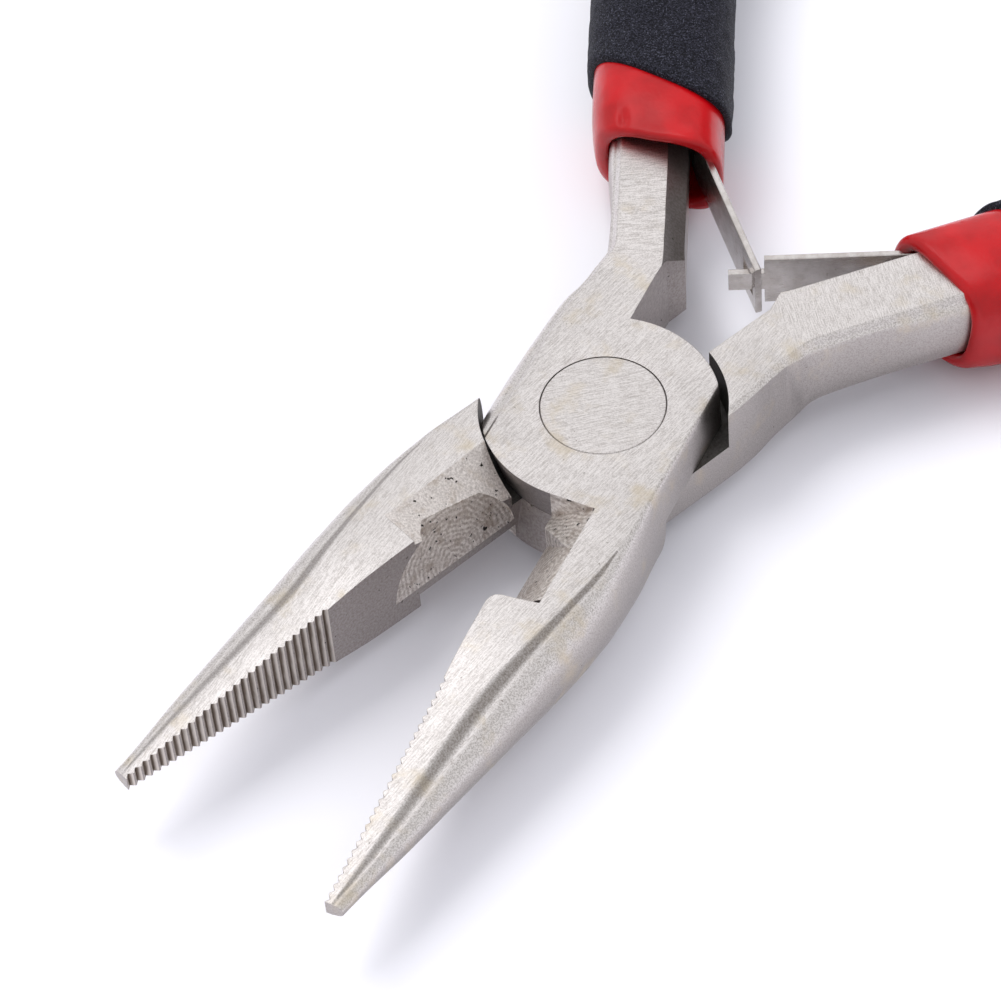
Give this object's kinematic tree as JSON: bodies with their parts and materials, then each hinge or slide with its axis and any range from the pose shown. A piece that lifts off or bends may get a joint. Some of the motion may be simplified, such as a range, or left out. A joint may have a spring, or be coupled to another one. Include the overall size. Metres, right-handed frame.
{
  "type": "chain nose pliers",
  "caption": "Small spring-opened pliers with tapering half-round jaws, serrated flat gripping faces, a side cutter behind them, a lap joint and slip-on grips over bowed handles.",
  "frame": {"origin": "on the pivot axis, at the joint's lower face, where the rivet's lower end is flush with it", "axes": "+Z along the pivot axis, up through the joint; -Y towards the jaw tips, +Y towards the handles; +X towards the side of the upper half's jaw"},
  "size_m": [0.0774, 0.1228, 0.0104],
  "materials": {
    "plated_steel": "satin nickel plate with fine grinding lines",
    "spring_steel": "plain rolled strip",
    "red_sleeve": "glossy soft vinyl",
    "black_cover": "matt, finely textured"
  },
  "bodies": {
    "upper_handle": {"upper_half": "plated_steel", "pivot_rivet": "plated_steel", "upper_sleeve": "red_sleeve", "upper_grip_cover": "black_cover", "upper_spring_rivet": "spring_steel"},
    "lower_handle": {"lower_half": "plated_steel", "lower_sleeve": "red_sleeve", "lower_grip_cover": "black_cover", "lower_spring_rivet": "spring_steel"},
    "upper_leaf": {"upper_leaf_spring": "spring_steel"},
    "lower_leaf": {"lower_leaf_spring": "spring_steel"}
  },
  "joints": [
    {"name": "jaw_pivot", "type": "hinge", "parent": "upper_handle", "child": "lower_handle", "pos_m": [0, 0, 0.0036], "axis": [0, 0, 1], "range_deg": [0, 22.6], "stiffness_Nm_per_rad": 0.3, "springref_deg": -9.74},
    {"name": "upper_leaf_bend", "type": "hinge", "parent": "upper_handle", "child": "upper_leaf", "pos_m": [-0.01196, 0.02752, 0.0036], "axis": [0, 0, 1], "range_deg": [-18, 0], "deforming": ["upper_leaf_spring"]},
    {"name": "lower_leaf_bend", "type": "hinge", "parent": "lower_handle", "child": "lower_leaf", "pos_m": [0.01196, 0.02752, 0.0036], "axis": [0, 0, 1], "range_deg": [0, 18], "deforming": ["lower_leaf_spring"]}
  ],
  "couplings": [
    {"joint": "upper_leaf_bend", "follows": "jaw_pivot", "ratio": -0.78},
    {"joint": "lower_leaf_bend", "follows": "jaw_pivot", "ratio": 0.78}
  ]
}
